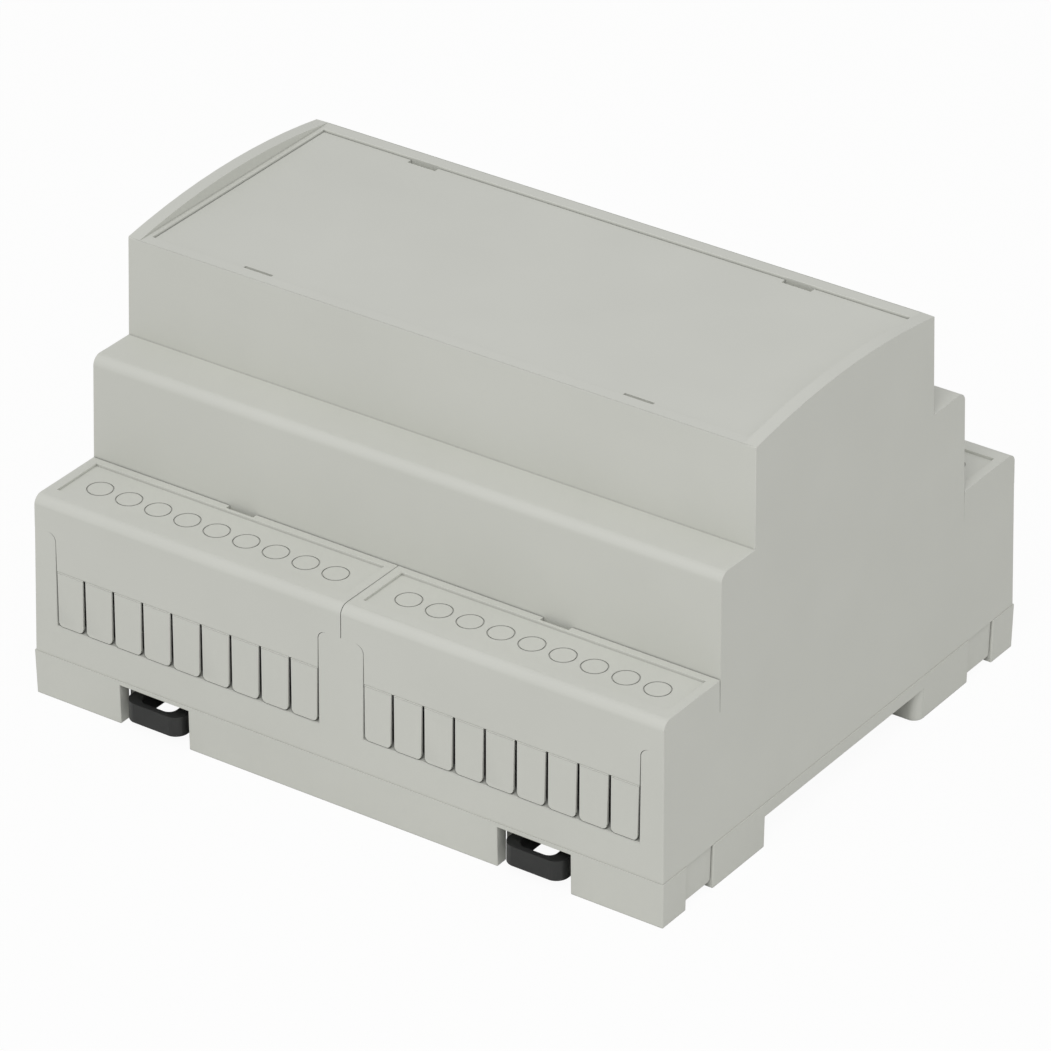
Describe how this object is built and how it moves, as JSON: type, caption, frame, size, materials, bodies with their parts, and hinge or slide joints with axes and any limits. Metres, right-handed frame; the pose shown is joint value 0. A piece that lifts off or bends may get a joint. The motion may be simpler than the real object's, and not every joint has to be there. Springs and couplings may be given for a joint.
{
  "type": "din rail enclosure",
  "caption": "Stepped plastic enclosure for a DIN rail, with a flat front panel between arched cheeks, terminal covers with snap-off tabs and sliding rail clips.",
  "frame": {"origin": "middle of the enclosure, at the level of the feet under the base", "axes": "+X along the rail to the right, +Y from the clip side to the rear, +Z away from the rail to the front panel"},
  "size_m": [0.1064, 0.0903, 0.065],
  "materials": {
    "shell_grey": "fine spark-eroded matt, light grey",
    "clip_black": "satin black"
  },
  "bodies": {
    "base": {"base": "shell_grey"},
    "housing": {"housing": "shell_grey"},
    "front_panel": {"front_panel": "shell_grey"},
    "cover_front_left": {"cover_front_left": "shell_grey"},
    "cover_front_right": {"cover_front_right": "shell_grey"},
    "cover_rear_left": {"cover_rear_left": "shell_grey"},
    "cover_rear_right": {"cover_rear_right": "shell_grey"},
    "clip_left": {"clip_left": "clip_black"},
    "clip_right": {"clip_right": "clip_black"}
  },
  "joints": [
    {"name": "housing_lift", "type": "slide", "parent": "base", "child": "housing", "axis": [0, 0, 1], "range_m": [0, 0.03]},
    {"name": "front_panel_lift", "type": "slide", "parent": "housing", "child": "front_panel", "axis": [0, 0, 1], "range_m": [0, 0.02]},
    {"name": "cover_front_left_lift", "type": "slide", "parent": "housing", "child": "cover_front_left", "axis": [0, 0, 1], "range_m": [0, 0.056]},
    {"name": "cover_front_right_lift", "type": "slide", "parent": "housing", "child": "cover_front_right", "axis": [0, 0, 1], "range_m": [0, 0.056]},
    {"name": "cover_rear_left_lift", "type": "slide", "parent": "housing", "child": "cover_rear_left", "axis": [0, 0, 1], "range_m": [0, 0.056]},
    {"name": "cover_rear_right_lift", "type": "slide", "parent": "housing", "child": "cover_rear_right", "axis": [0, 0, 1], "range_m": [0, 0.056]},
    {"name": "clip_left_slide", "type": "slide", "parent": "base", "child": "clip_left", "axis": [0, -1, 0], "range_m": [0, 0.003]},
    {"name": "clip_right_slide", "type": "slide", "parent": "base", "child": "clip_right", "axis": [0, -1, 0], "range_m": [0, 0.003]}
  ]
}
